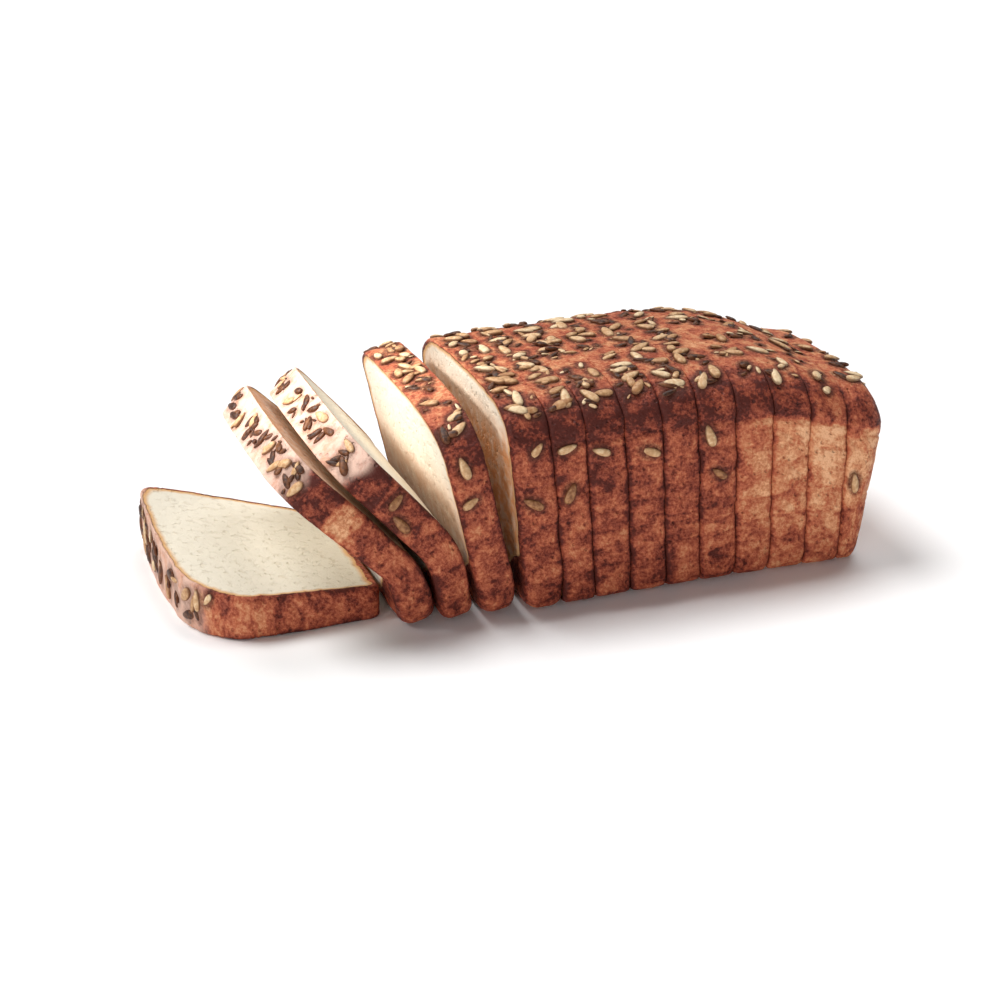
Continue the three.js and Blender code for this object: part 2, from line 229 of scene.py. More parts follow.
def outline(shape):
    """The closed crust line of a slice, from the middle of its base round by the near side.

    Gives each point as (y, h), the direction out of the crust there, the same eased round the
    corners so that rows drawn inside the line don't cross, and `run`, the distance along the crust
    from the near corner of the base. `seeded` is from where to where the top seeds lie on it, and
    `side_top` the height at which the side ends."""
    height = shape["height"]
    near = {key: value * shape.get("near_round", 1) for key, value in NEAR_SHOULDER.items()}
    far = {key: value * shape.get("far_round", 1) for key, value in FAR_SHOULDER.items()}
    turn = np.linspace(0, math.pi / 2, CORNER_POINTS)
    side_top = height - max(near["down"], far["down"])
    h = np.concatenate([
        BASE_RADIUS * (1 - np.cos(turn)),
        np.linspace(BASE_RADIUS, side_top, SIDE_POINTS)[1:],
        side_top + (height - side_top) * np.sin(turn)[1:],
    ])
    near_side = np.stack([-reach(h, shape["width"], height, near), h], 1)
    far_side = np.stack([reach(h, shape["width"], height, far), h], 1)[::-1]
    across = np.linspace(0, 1, SIDE_POINTS)[1:-1]
    crown = height + CROWN * (1 - np.abs(2 * across - 1) ** CROWN_POWER)
    top = np.stack([lerp(near_side[-1, 0], far_side[0, 0], across), crown], 1)
    base = np.array([[0.0, 0.0]])
    path = np.concatenate([base, near_side, top, far_side, base])
    lengths = np.concatenate([[0], np.cumsum(np.hypot(*np.diff(path, axis=0).T))])
    count = round(lengths[-1] / CRUST_STEP)
    at = np.arange(count) * lengths[-1] / count
    loop = np.stack([np.interp(at, lengths, path[:, i]) for i in (0, 1)], 1)
    along = np.roll(loop, -1, 0) - np.roll(loop, 1, 0)
    along /= np.hypot(*along.T)[:, None]
    out = np.stack([-along[:, 1], along[:, 0]], 1)
    eased = sum(np.roll(out, shift, 0) for shift in range(-EASED_OVER, EASED_OVER + 1))
    near_corner = lengths[1]
    seeded_h = side_top + (height - side_top) * math.sin(math.radians(SEEDED_FROM))
    seeded = np.interp(seeded_h, near_side[:, 1], lengths[1:len(h) + 1]) - near_corner
    return {
        "loop": loop,
        "out": out,
        "eased_out": eased / np.hypot(*eased.T)[:, None],
        "run": at - near_corner,
        "seeded": (seeded, lengths[-2] - near_corner - seeded),
        "side_top": side_top,
    }


def crust_spot(line, run):
    """Where the crust is at a distance along it, and the directions along and out of it there."""
    y, h, *out = [
        np.interp(run, line["run"], line[key][:, i]) for key in ("loop", "out") for i in (0, 1)
    ]
    out = np.array(out) / np.hypot(*out)
    return y, h, np.array([out[1], -out[0]]), out


# ---- ways to place a slice ----


def cut_wave(cut, across, h):
    """How far the knife strayed, as both faces of a cut show it."""
    return layered(np.column_stack([across, h, np.full(len(h), cut * CUT_SPACING)]), KNIFE_STRAYED)


def strayed(number, thickness, t, across, h):
    """t with the waves of the cuts on either side; the first face and the heel's end have none."""
    share = t / thickness
    swell = CUT_SWELL * (2 * share - 1)
    left = 0 if number == 0 else cut_wave(number, across, h) + swell
    right = 0 if number == HEEL_SLICE else cut_wave(number + 1, across, h) + swell
    return t + lerp(left, right, share)


def standing(number, x, own, left, right):
    """A standing slice keeps its base flat and leans over it, and the heel is drawn in at its base.

    Towards each cut a slice takes on the size, place and lean half-way between its own and its
    neighbour's, so that the crusts of the two meet there."""
    drawn_in = HEEL["drawn_in"] if number == HEEL_SLICE else 0

    def place(t, across, h):
        share = t / own["thickness"]
        middle, width, top, slope = [
            lerp(own[size] + left[size], own[size] + right[size], share) / 2
            for size in ("y", "width", "top", "slope")
        ]
        y = middle + across * (width / own["width"])
        z = h * (top / own["top"])
        swollen = np.clip(h / HEEL["swell_height"], 0, 1)
        through = strayed(number, own["thickness"], t, y, z) - drawn_in * share * (1 - swollen)
        return np.stack([x + through - slope * z, y, z], -1)

    return place


def tipped(lean):
    """A tipped slice bends over an arc, with its left cut face on the inner side."""
    def angle(h):
        share = np.clip((h - lean["bend_from"]) / lean["bend"], 0, 1)
        return np.radians(lerp(lean["low"], lean["high"], share))

    heights = np.arange(0, BEND_REACH, BEND_STEP)
    middle = angle(heights[:-1] + BEND_STEP / 2)
    left = np.concatenate([[0], np.cumsum(np.sin(middle) * BEND_STEP)])
    up = np.concatenate([[0], np.cumsum(np.cos(middle) * BEND_STEP)])

    def place(t, across, h):
        squeeze = np.exp(-(((h - lean["pinch_at"]) / lean["pinch_over"]) ** 2))
        through = t * (1 - lean["pinch"] * squeeze)
        here = angle(h)
        x = lean["x"] - np.interp(h, heights, left) + through * np.cos(here)
        z = np.interp(h, heights, up) + through * np.sin(here)
        return np.stack([x, lean["y"] + across, z], -1)

    return place


def lying(shape):
    """The lying slice has its dome to the left and its right cut face up. It is thinner and
    narrower towards its base crust, which the next slice presses down."""
    def place(t, across, h):
        upwards = h / shape["height"]
        far_share = across / shape["width"] + 0.5
        near = lerp(LYING["near_base"], LYING["near_top"], upwards)
        far = lerp(LYING["far_base"], LYING["far_top"], upwards)
        here = shape["width"] - LYING["taper"] * (1 - np.minimum(1, upwards))
        z = (t / SLICE) * lerp(near, far, far_share)
        return np.stack([LYING["x"] - h, LYING["front"] + far_share * here, z], -1)

    return place


# ---- the slices, worked out ----


def drawn_to_heel(t, y, h, top):
    """The heel's outline shrinks towards its outer end."""
    inset = HEEL["rounding"] * quarter_round((HEEL["thickness"] - t) / HEEL["rounding"])
    lift = np.minimum(inset, HEEL["base_rounding"]) * (1 - h / top)
    inward = inset * smooth(0, HEEL_MIDDLE, np.abs(y))
    return np.sign(y) * (np.abs(y) - inward), h + lift - inset * (h / top)


def standing_shapes():
    """The sizes of every standing slice, from left to right, with its place across as `y`."""
    draw = seeded_random(UNEVENNESS_SEED)

    def uneven():
        return (draw() * 2 - 1) * UNEVENNESS

    shapes = []
    for i in range(HEEL_SLICE + 1):
        fall = (RISE_FALL if i < PEAK_SLICE else HEEL_FALL) * (i - PEAK_SLICE) ** 2
        narrowing = HEEL_NARROWING * max(0, i - WIDEST_SLICE) ** 2
        shape = {
            "y": 0 if i == ORIGIN_SLICE else uneven() - HEEL_DRIFT * narrowing,
            "width": FULL_WIDTH - narrowing + uneven(),
            "height": PEAK_HEIGHT - CROWN - fall + uneven(),
            "thickness": HEEL["thickness"] if i == HEEL_SLICE else STANDING_CUTS[i] - GAP,
        }
        shape["top"] = shape["height"] + CROWN
        shape["slope"] = math.tan(math.radians(FIRST_LEAN * (1 - i / HEEL_SLICE) ** LEAN_POWER))
        shapes.append(shape)
    return shapes


def all_slices():
    """Every slice from left to right, with where it was in the whole loaf as `loaf_x`."""
    placed = [lying(FALLEN[0])] + [tipped(lean) for lean in TIPPED]
    x = (GAP - STANDING_CUTS[ORIGIN_SLICE]) / 2 - sum(STANDING_CUTS[:ORIGIN_SLICE])
    slices = [
        {**shape, "thickness": SLICE, "place": place, "loaf_x": x + (SLICE + GAP) * i}
        for i, (shape, place) in enumerate(zip(FALLEN, placed), -len(FALLEN))
    ]
    shapes = standing_shapes()
    for i, own in enumerate(shapes):
        left, right = shapes[max(i - 1, 0)], shapes[min(i + 1, HEEL_SLICE)]
        slices.append({
            **own,
            "seeds": TOP_SEEDS[i],
            "side_seeds": SIDE_SEEDS[i],
            "place": standing(i, x, own, left, right),
            "loaf_x": x,
        })
        if i < HEEL_SLICE:
            x += STANDING_CUTS[i]
    for number, piece in enumerate(slices, 1):
        piece["number"] = number
        piece["is_heel"] = number == len(slices)
        piece["line"] = outline(piece)
        piece["spots"] = sow(piece)
        piece["small_spots"] = sow_small(piece)
    return slices


# ---- seeds ----


def is_bare(x, over):
    return any(math.hypot(x - at, over - middle) < radius for at, middle, radius in BARE_PATCHES)


def seed_tone(piece, chance):
    """How light a seed is. On the pale slices most are burnt, and elsewhere only a few."""
    tones = PALE_SLICE_TONES
    if piece["number"] in GLARE_ABOVE:
        return tones["burnt"] * chance if chance < tones["burnt_share"] else tones["light"]
    if chance < SEED_TONES["burnt_share"]:
        return chance
    return lerp(*SEED_TONES["light"], chance)


def sow(piece):
    """The large seeds of a slice: t, the distance along the crust, and how each lies and looks."""
    draw = seeded_random(piece["number"] * SOWING_SEED)
    line = piece["line"]
    thickness = HEEL["seeded"] if piece["is_heel"] else piece["thickness"]
    side_seeds = piece.get("side_seeds", [])
    spots = [{"t": share * thickness, "run": run} for share, run in side_seeds]
    for _ in range(piece["seeds"]):
        tries = []
        for _ in range(SEED_SPACING_TRIES):
            t = thickness * draw()
            run = lerp(*line["seeded"], draw())
            share = BARE_SHARE if is_bare(piece["loaf_x"] + t, run) else 1
            gaps = [math.hypot(spot["t"] - t, spot["run"] - run) for spot in spots]
            room = share * min(gaps, default=FIRST_SEED_ROOM)
            tries.append({"t": t, "run": run, "room": room})
        spots.append(max(tries, key=lambda spot: spot["room"]))
    for spot in spots:
        spot["turn"] = draw() * math.pi
        spot["tilt"] = (draw() * 2 - 1) * SEED_TILT
        spot["size"] = 1 + (draw() * 2 - 1) * SEED_SIZE_SPREAD
        cosine, sine = abs(math.cos(spot["turn"])), abs(math.sin(spot["turn"]))
        span = SEED["length"] * cosine + SEED["width"] * sine
        margin = span / 2 * spot["size"] + SEED_MARGIN
        spot["t"] = min(max(spot["t"], margin), thickness - margin)
        spot["tone"] = seed_tone(piece, draw())
        if spot["run"] < line["seeded"][0]:
            spot["tone"] = lerp(*SIDE_SEED_TONES, spot["tone"])
        spot["size"] *= SHRUNK["burnt" if spot["tone"] < BURNT_BELOW else "light"]
        spot["slimness"] = SEED_SLIMNESS
    return spots


def sow_small(piece):
    """Smaller and broken kernels between the large ones, thickest where the large ones are."""
    draw = random.Random(piece["number"])
    spots = []
    for _ in range(round(piece["seeds"] * SMALL_SEED_SHARE)):
        size = draw.uniform(*SMALL_SEED_SIZES)
        margin = SEED["length"] * size / 2
        spot = {
            "t": draw.uniform(margin, piece["thickness"] - margin),
            "run": lerp(*piece["line"]["seeded"], draw.random()),
            "turn": draw.uniform(0, math.pi),
            "tilt": draw.uniform(-SMALL_SEED_TILT, SMALL_SEED_TILT),
            "size": size,
        }
        is_burnt = draw.random() <= BURNT_SMALL_SEEDS["share"]
        spot["tone"] = BURNT_SMALL_SEEDS["tone"] if is_burnt else seed_tone(piece, draw.random())
        spot["slimness"] = draw.uniform(*SMALL_SEED_SLIMNESS)
        spots.append(spot)
    return spots


# ---- relief ----

CUT_ROUNDING = {"top": 0.06, "side": 1.5, "foot": 2.2, "tongue": 5.2}  # of the crust at a cut
TONGUES = range(2, 6)  # these slices have feet like rounded tongues
FOOT_HEIGHT = 14
TONGUE_CRUST = [20, 30]  # from the near corner of the base, where crust is pressed over their cuts
UNEVEN_ROUNDING = {"share": 0.45, "size": 9}
FLAT_UNDER = 2  # below this height the relief fades out, so that the base stays flat

SLICE_SWELL = 0.5  # of the crust half-way between two cuts, on the sides
# Creases round the sides: dented, and darkened with painted shade.
CREASE = {"size": 9, "shift": 21.7, "stretch": 0.25, "from": 0.93, "depth": 0.6, "bake_and_shade": 0.25}
LEDGE = {"depth": 0.6, "width": 0.9}  # the line round the loaf where the side of the tin ended
LEDGE_WANDER = {"height": 1.5, "size": 11, "shift": 4.4}

PORE_SIZES = [0.4, 1.4]
PORE_STRETCHES = [1, 1.8]
PORE_SPACING = 6.5
PORE_DEPTH = 0.16
WAVE_LIFT = 0.6  # added to the noise of the waves, so that most of them lie under the plane
FACE_SPACING = 50  # in the noise, between the two cut faces of a slice
WHOLE_RIM = 2.5  # mm inside the edge of a cut face, from where its relief is in full


def cut_rounding(piece, out, run, h):
    side = np.abs(out[:, 0])
    foot = CUT_ROUNDING["tongue"] if piece["number"] in TONGUES else CUT_ROUNDING["foot"]
    rounding = lerp(CUT_ROUNDING["top"], CUT_ROUNDING["side"], side)
    rounding = lerp(rounding, foot, smooth(FOOT_HEIGHT, 0, h))
    along = np.stack([run, np.full_like(run, piece["loaf_x"]), np.zeros_like(run)], 1)
    return rounding * (1 + UNEVEN_ROUNDING["share"] * ripple(along, UNEVEN_ROUNDING["size"]))


def crease(at):
    """1 along the fine lines that run round the sides, and 0 elsewhere."""
    lines = np.abs(ripple(at * [CREASE["stretch"], 1, 1], CREASE["size"], CREASE["shift"]))
    return smooth(CREASE["from"], 1, 1 - lines)


def crust_relief(piece, at, t, out):
    """How far the crust stands out of its plain outline."""
    side = np.abs(out[:, 0])
    swell = SLICE_SWELL * (1 - (2 * t / piece["thickness"] - 1) ** 2) * side
    wander = LEDGE_WANDER["height"] * ripple(at, LEDGE_WANDER["size"], LEDGE_WANDER["shift"])
    from_ledge = (at[:, 2] - (piece["line"]["side_top"] + wander)) / LEDGE["width"]
    ledge = -LEDGE["depth"] * np.exp(-(from_ledge ** 2)) * side
    return layered(at, CRUST_LUMPS) - CREASE["depth"] * crease(at) * side + swell + ledge


def pores(piece, face):
    """The larger pores of a cut face, as (y, h, radius, stretch, turn)."""
    draw = random.Random(piece["number"] * 10 + face)
    width, height = piece["width"], piece["height"]
    return np.array([
        (
            draw.uniform(-0.5, 0.5) * width,
            draw.uniform(0, 1) * height,
            lerp(*PORE_SIZES, draw.random() ** 3),
            draw.uniform(*PORE_STRETCHES),
            draw.uniform(0, math.pi),
        )
        for _ in range(round(width * height / PORE_SPACING ** 2))
    ])


def crumb_relief(piece, face, y, h, rim):
    """How deep a cut face lies under its plane, with its pores and the waves the knife left."""
    dent = np.zeros(len(y))
    for pore_y, pore_h, radius, stretch, turn in pores(piece, face):
        near = (np.abs(y - pore_y) < 2 * radius) & (np.abs(h - pore_h) < 2 * radius)
        dy = y[near] - pore_y
        dh = h[near] - pore_h
        along = (dy * math.cos(turn) + dh * math.sin(turn)) / stretch
        across = dh * math.cos(turn) - dy * math.sin(turn)
        inside = np.maximum(0, 1 - (along ** 2 + across ** 2) / radius ** 2)
        dent[near] = np.maximum(dent[near], PORE_DEPTH * radius * inside)
    at = np.stack([np.full_like(y, piece["loaf_x"] + FACE_SPACING * face), y, h], 1)
    lift = WAVE_LIFT * sum(height for height, _, _ in KNIFE_WAVES)
    waves = lift + layered(at, KNIFE_WAVES)
    return (dent + np.maximum(waves, 0)) * smooth(0, WHOLE_RIM, rim)


# ---- browning, painted glare and painted shade ----

BAKE = {
    "side": 0.66, "tan": 0.14, "shoulder": 0.93, "tan_shoulder": 0.74, "top": 0.45, "foot": 0.06,
    "streak": 0.22, "patches": 0.1,
}
TAN_FROM = [14, 44]  # along the loaf, the sides turn from reddish brown to tan between these
LOW_TAN = {"between": [46, 12], "share": 0.45}  # down a side, less of the tan is left
FOOT_BAKED = 16  # mm up from the base
TAN_SHOULDER_FROM = [36, 56]  # along the loaf
SHOULDER_UP = {"between": [0.8, 0.99], "patches": 0.12}  # how far up the crust faces where it ends
PATCHES = (19, 2.2)  # the length of the darker patches and the shift of their noise
EDGE_WANDER = [(3, 8, 9.1)]  # of the line between side and shoulder
CUT_EDGE_SHADE = {"bake_and_shade": 0.3, "width": 2}  # painted shade: how much darker the rounded edge of a cut is drawn, and over what width

# Heights over the top of the side. Between two numbers the colour changes.
SHOULDER_FROM = [-2, 1.5]
GLARE_ABOVE = {2: 11, 3: 8}  # from here the two slices that lean most are painted pale: painted glare
GLARE_SOFTNESS = 2
DARK_BAND = [-6, -2]  # under the pale crust
STREAK = {"slice": 2, "from": [-16, -13], "to": [-5, -2]}  # a tan band lower down

# Painted light: the dome of the lying slice is painted pale where it faces away from the base,
# towards the light.
LIT_DOME = {"slice": 1, "share": 0.9, "between": [0.75, 0.95]}


def crust_bake_and_light(piece, at, t, out):
    """Baking and painted shade of the crust, 0 to 1, and how much of it is painted pale by light.
    """
    along, h = at[:, 0], at[:, 2]
    beside, up = np.abs(out[:, 0]), out[:, 1]
    number = piece["number"]
    patches = ripple(at, *PATCHES)
    over_side = h + layered(at, EDGE_WANDER) - piece["line"]["side_top"]

    tan = smooth(*TAN_FROM, along) * lerp(1, LOW_TAN["share"], smooth(*LOW_TAN["between"], h))
    side = lerp(BAKE["side"], BAKE["tan"], tan) + BAKE["foot"] * smooth(FOOT_BAKED, 0, h)
    shoulder = 1 - smooth(*SHOULDER_UP["between"], up + SHOULDER_UP["patches"] * patches)
    darkest = lerp(BAKE["shoulder"], BAKE["tan_shoulder"], smooth(*TAN_SHOULDER_FROM, along))
    # The lit dome gets no dark shoulder, as part of its painted light.
    if number == LIT_DOME["slice"]:
        darkest = BAKE["top"]
    above = lerp(BAKE["top"], darkest, shoulder)
    bake_and_shade = lerp(side, above, smooth(*SHOULDER_FROM, over_side)) + BAKE["patches"] * patches

    painted_light = np.zeros_like(h)
    # Painted glare: the tops of the two slices that lean most are painted pale.
    if number in GLARE_ABOVE:
        glare_from = GLARE_ABOVE[number]
        painted_light = smooth(glare_from - GLARE_SOFTNESS, glare_from + GLARE_SOFTNESS, over_side)
        dark_band = smooth(*DARK_BAND, over_side) * (1 - painted_light)
        bake_and_shade = np.maximum(bake_and_shade, BAKE["shoulder"] * dark_band)
    if number == STREAK["slice"]:
        streak = smooth(*STREAK["from"], over_side) * (1 - smooth(*STREAK["to"], over_side))
        bake_and_shade = lerp(bake_and_shade, BAKE["streak"], streak)
    # Painted light on the lying slice's dome.
    if number == LIT_DOME["slice"]:
        painted_light = LIT_DOME["share"] * smooth(*LIT_DOME["between"], up)

    # Painted shade along the edges of the cuts and in the creases of the sides.
    from_cut = t if piece["is_heel"] else np.minimum(t, piece["thickness"] - t)
    bake_and_shade += CUT_EDGE_SHADE["bake_and_shade"] * smooth(CUT_EDGE_SHADE["width"], 0, from_cut) * beside
    bake_and_shade += CREASE["bake_and_shade"] * crease(at) * beside
    return np.clip(bake_and_shade, 0, 1), painted_light


# By slice and face, 0 for the left one: how much warm painted shade the crumb gets in the gaps
# between slices, and the heights between which it deepens to that, from above.
SHADED_CUT_FACES = {(2, 1): (0.75, [90, 80]), (4, 0): (0.6, [70, 32]), (5, 0): (0.95, [84, 60])}


def cut_face_shade(piece, face, h):
    if (piece["number"], face) not in SHADED_CUT_FACES:
        return np.zeros_like(h)
    most, between = SHADED_CUT_FACES[piece["number"], face]
    return most * smooth(*between, h)


# ---- meshes ----

INSIDE_ONLY = 1  # what delaunay_2d_cdt gives: the triangles within the borders
SAME_POINT = 1e-6  # how close two points are that it takes for one

# The columns of a table of points: where it is in the slice's frame, how far inside the edge of
# a cut face, where along the crust, which way is out of the crust there, and how much painted
# shade its crumb gets.
COLUMNS = 8
T, Y, H, RIM, RUN, OUT_Y, OUT_H, PAINTED_SHADE = range(COLUMNS)
FAR_FROM_CRUST = -99


def stations(piece):
    """Where through the thickness of a slice its rows of crust points lie."""
    edge = EDGE_STATIONS
    thickness = piece["thickness"]
    if piece["is_heel"]:
        curve_from = thickness - HEEL["rounding"]
        turn = np.radians(np.linspace(0, HEEL_TURN, HEEL_STATIONS))
        middle = np.arange(edge[-1] + STATION_STEP, curve_from - STATION_STEP / 2, STATION_STEP)
        return np.concatenate([edge, middle, curve_from + HEEL["rounding"] * np.sin(turn)])
    count = round((thickness - 2 * edge[-1]) / STATION_STEP)
    middle = np.linspace(edge[-1], thickness - edge[-1], count + 1)[1:-1]
    return np.concatenate([edge, middle, thickness - edge[::-1]])


def grid_faces(first, second):
    """Quads between two closed rows of as many points."""
    following = np.roll(np.arange(len(first)), -1)
    return np.stack([first, second, second[following], first[following]], 1).tolist()


def crust_row(piece, t, rounding):
    """The crust points of one station, as rows of the table."""
    line = piece["line"]
    loop, out = line["loop"], line["out"]
    count = len(loop)
    from_cut = t if piece["is_heel"] else min(t, piece["thickness"] - t)
    at = np.column_stack([np.full(count, piece["loaf_x"] + t), loop])
    push = crust_relief(piece, at, t, out) * smooth(0, FLAT_UNDER, loop[:, 1])
    inset = rounding * quarter_round(from_cut / rounding)
    y, h = (loop + out * push[:, None] - line["eased_out"] * inset[:, None]).T
    if piece["is_heel"]:
        y, h = drawn_to_heel(t, y, h, piece["top"])
    rest = np.zeros(count)
    return np.column_stack([np.full(count, t), y, h, rest, line["run"], out, rest])


def inner_points(ring, out, draw):
    """Points on a loose triangular grid that lie well inside a convex ring."""
    low, high = ring.min(0), ring.max(0)
    points = []
    jitter = (-CRUMB_JITTER, CRUMB_JITTER)
    for row, h in enumerate(np.arange(low[1], high[1], CRUMB_STEP * ROW_STEP)):
        start = low[0] + (row % 2) * CRUMB_STEP / 2
        points += [
            (y + draw.uniform(*jitter), h + draw.uniform(*jitter))
            for y in np.arange(start, high[0], CRUMB_STEP)
        ]
    points = np.array(points)
    inside = -((points[:, None, :] - ring[None, :, :]) * out[None, :, :]).sum(2)
    return points[inside.min(1) > CRUMB_STEP * CRUMB_CLEARANCE]


def cut_face(piece, face, edge_row):
    """The rows of points inside a cut face, and its faces, counted from the edge row's points."""
    out = piece["line"]["eased_out"]
    count = len(edge_row)
    rows, faces = [], []
    before = np.arange(count)
    for distance in RINGS:
        ring = edge_row.copy()
        ring[:, Y:RIM] -= out * distance
        ring[:, RIM] = distance
        rows.append(ring)
        now = before + count
        faces += grid_faces(now, before)
        before = now
    inner = inner_points(ring[:, Y:RIM], out, random.Random(piece["number"]))
    flat = [Vector(point) for point in np.concatenate([ring[:, Y:RIM], inner])]
    borders = [(i, (i + 1) % count) for i in range(count)]
    triangles, drawn_from = delaunay_2d_cdt(flat, borders, [], INSIDE_ONLY, SAME_POINT)[2:4]
    faces += [[int(before[0]) + drawn_from[v][0] for v in corners][::-1] for corners in triangles]
    rim = np.hypot(*(inner[:, None, :] - edge_row[None, :, Y:RIM]).transpose(2, 0, 1)).min(1)
    table = np.zeros((len(inner), COLUMNS))
    table[:, T] = edge_row[0, T]
    table[:, Y:RIM] = inner
    table[:, RIM] = rim
    table[:, RUN] = FAR_FROM_CRUST
    table[:, OUT_Y] = -1
    rows.append(table)
    rows = np.concatenate(rows)
    if face == 1 and piece["is_heel"]:
        rows[:, RIM] = 0  # crust
    else:
        depth = crumb_relief(piece, face, rows[:, Y], rows[:, H], rows[:, RIM])
        rows[:, T] += depth if face == 0 else -depth
        rows[:, PAINTED_SHADE] = cut_face_shade(piece, face, rows[:, H])
        if piece["number"] in TONGUES:
            from_corner = np.hypot(rows[:, Y] + piece["width"] / 2, rows[:, H])
            rows[:, RIM] *= smooth(*TONGUE_CRUST, from_corner)
    if face == 1:
        faces = [corners[::-1] for corners in faces]
    return rows, faces


def slice_table(piece):
    """A slice as a table of points and the faces between them."""
    line = piece["line"]
    rounding = cut_rounding(piece, line["out"], line["run"], line["loop"][:, 1])
    rows = [crust_row(piece, t, rounding) for t in stations(piece)]
    count = len(line["loop"])
    faces = []
    for j in range(len(rows) - 1):
        first = np.arange(count) + j * count
        faces += grid_faces(first, first + count)
    blocks = [np.concatenate(rows)]
    total = len(blocks[0])
    for face, edge_row, edge_at in ((0, rows[0], 0), (1, rows[-1], total - count)):
        block, inside = cut_face(piece, face, edge_row)
        shift = np.concatenate([edge_at + np.arange(count), total + np.arange(len(block))])
        faces += [[int(shift[v]) for v in corners] for corners in inside]
        blocks.append(block)
        total += len(block)
    return np.concatenate(blocks), faces


def new_object(name, data):
    made = bpy.data.objects.new(name, data)
    bpy.context.scene.collection.objects.link(made)
    return made


def new_piece(name, points, faces, attributes, material):
    """The attributes give the material a number or a vector for each point."""
    mesh = bpy.data.meshes.new(name)
    mesh.from_pydata((points * MM).tolist(), [], faces)
    mesh.polygons.foreach_set("use_smooth", [True] * len(mesh.polygons))
    for key, values in attributes.items():
        kind, field = ("FLOAT_VECTOR", "vector") if values.ndim == 2 else ("FLOAT", "value")
        attribute = mesh.attributes.new(key, kind, "POINT")
        attribute.data.foreach_set(field, np.ravel(values).astype(np.float32))
    mesh.materials.append(material)
    piece = new_object(name, mesh)
    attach(piece, "root")
    return piece


def nearness_to_seeds(piece, table):
    """1 where a seed lies and 0 where its shade ends."""
    near = np.zeros(len(table))
    for spot in piece["spots"] + piece["small_spots"]:
        t = table[:, T] - spot["t"]
        run = table[:, RUN] - spot["run"]
        cosine, sine = math.cos(spot["turn"]), math.sin(spot["turn"])
        gap = np.hypot(
            (t * cosine + run * sine) / (SEED["length"] / 2 * spot["size"] + SEED_SHADE),
            (run * cosine - t * sine) / (SEED["width"] / 2 * spot["size"] + SEED_SHADE),
        )
        near = np.maximum(near, smooth(1, FULL_SHADE, gap))
    return near


def make_slice(piece, material):
    table, faces = slice_table(piece)
    at = table[:, [T, Y, H]] + [piece["loaf_x"], 0, 0]
    bake_and_shade, painted_light = crust_bake_and_light(piece, at, table[:, T], table[:, OUT_Y:PAINTED_SHADE])
    made = new_piece(
        f"bread_{piece['number']:02d}",
        piece["place"](table[:, T], table[:, Y], table[:, H]),
        faces,
        {
            "bread_at": at,
            "rim": table[:, RIM],
            "bake_and_shade": bake_and_shade,
            "painted_light": painted_light,
            "gap_shade": table[:, PAINTED_SHADE],
            "seed_near": nearness_to_seeds(piece, table),
        },
        material,
    )
    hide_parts(f"slice_{piece['number']:02d}")


# ---- seed meshes ----


def seed_points(mesh, size, slimness):
    """A sunflower kernel: flattened, with a blunt and a pointed end and a shallow fold."""
    sides, rings = mesh
    rings = np.linspace(0, math.pi, rings + 1)[1:-1]
    around = np.arange(sides) * 2 * math.pi / sides
    ring, turn = [v.ravel() for v in np.meshgrid(rings, around, indexing="ij")]
    along = np.concatenate([np.cos(ring), [1, -1]])
    radius = np.concatenate([np.sin(ring), [0, 0]])
    turn = np.concatenate([turn, [0, 0]])
    narrow = 1 - SEED["point"] * along
    fold = 1 - SEED_FOLD["depth"] * np.exp(-((np.cos(turn) / SEED_FOLD["width"]) ** 2))
    return np.stack([
        radius * np.cos(turn) * narrow * SEED["width"] * slimness / 2,
        along * SEED["length"] / 2,
        radius * np.sin(turn) * narrow * fold * SEED["thickness"] / 2,
    ], 1) * size


def seed_faces(mesh):
    """The faces between a seed's points: its rings from one end to the other, then both ends."""
    sides, rings = mesh
    inner = rings - 1
    ends = (inner * sides, inner * sides + 1)
    faces = []
    for i in range(sides):
        j = (i + 1) % sides
        faces.append([ends[0], i, j])
        faces.append([ends[1], (inner - 1) * sides + j, (inner - 1) * sides + i])
        for ring in range(inner - 1):
            a = ring * sides
            b = a + sides
            faces.append([a + i, b + i, b + j, a + j])
    return faces


def placed_seed(piece, spot, mesh):
    """A seed's points where it lies on its slice, sunk into the crust."""
    y, h, along, out = crust_spot(piece["line"], spot["run"])
    if piece["is_heel"]:
        y, h = drawn_to_heel(spot["t"], y, h, piece["top"])
    depth = SEED["thickness"] * (0.5 - SEED["sunk"]) * spot["size"]
    turned = seed_points(mesh, spot["size"], spot["slimness"])
    turned = turned @ np.array(Matrix.Rotation(spot["tilt"], 3, "X")).T
    turned = turned @ np.array(Matrix.Rotation(spot["turn"] - math.pi / 2, 3, "Z")).T
    t = spot["t"] + turned[:, 0]
    across = y + out[0] * depth + along[0] * turned[:, 1] + out[0] * turned[:, 2]
    up = h + out[1] * depth + along[1] * turned[:, 1] + out[1] * turned[:, 2]
    return piece["place"](t, across, up)


def make_seeds(slices, material):
    """All the seeds as one mesh, the large ones and the smaller ones between."""
    points, faces = [], []
    attributes = {"tone": [], "length": [], "raised": []}
    shift = 0
    for spots, mesh in (("spots", SEED_MESH), ("small_spots", SMALL_SEED_MESH)):
        one = seed_faces(mesh)
        plain = seed_points(mesh, 1, 1)
        along = plain[:, 1] / SEED["length"] + 0.5
        for piece in slices:
            for spot in piece[spots]:
                points.append(placed_seed(piece, spot, mesh))
                faces += [[shift + v for v in corners] for corners in one]
                attributes["tone"].append(np.full(len(along), spot["tone"]))
                attributes["length"].append(along)
                attributes["raised"].append(plain[:, 2] / SEED["thickness"] * 2)
                shift += len(along)
    attributes = {key: np.concatenate(values) for key, values in attributes.items()}
    new_piece("seeds", np.concatenate(points), faces, attributes, material)


# ---- materials ----

NOISE_SPAN = (0.3, 0.7)  # nearly all of a noise texture lies between these


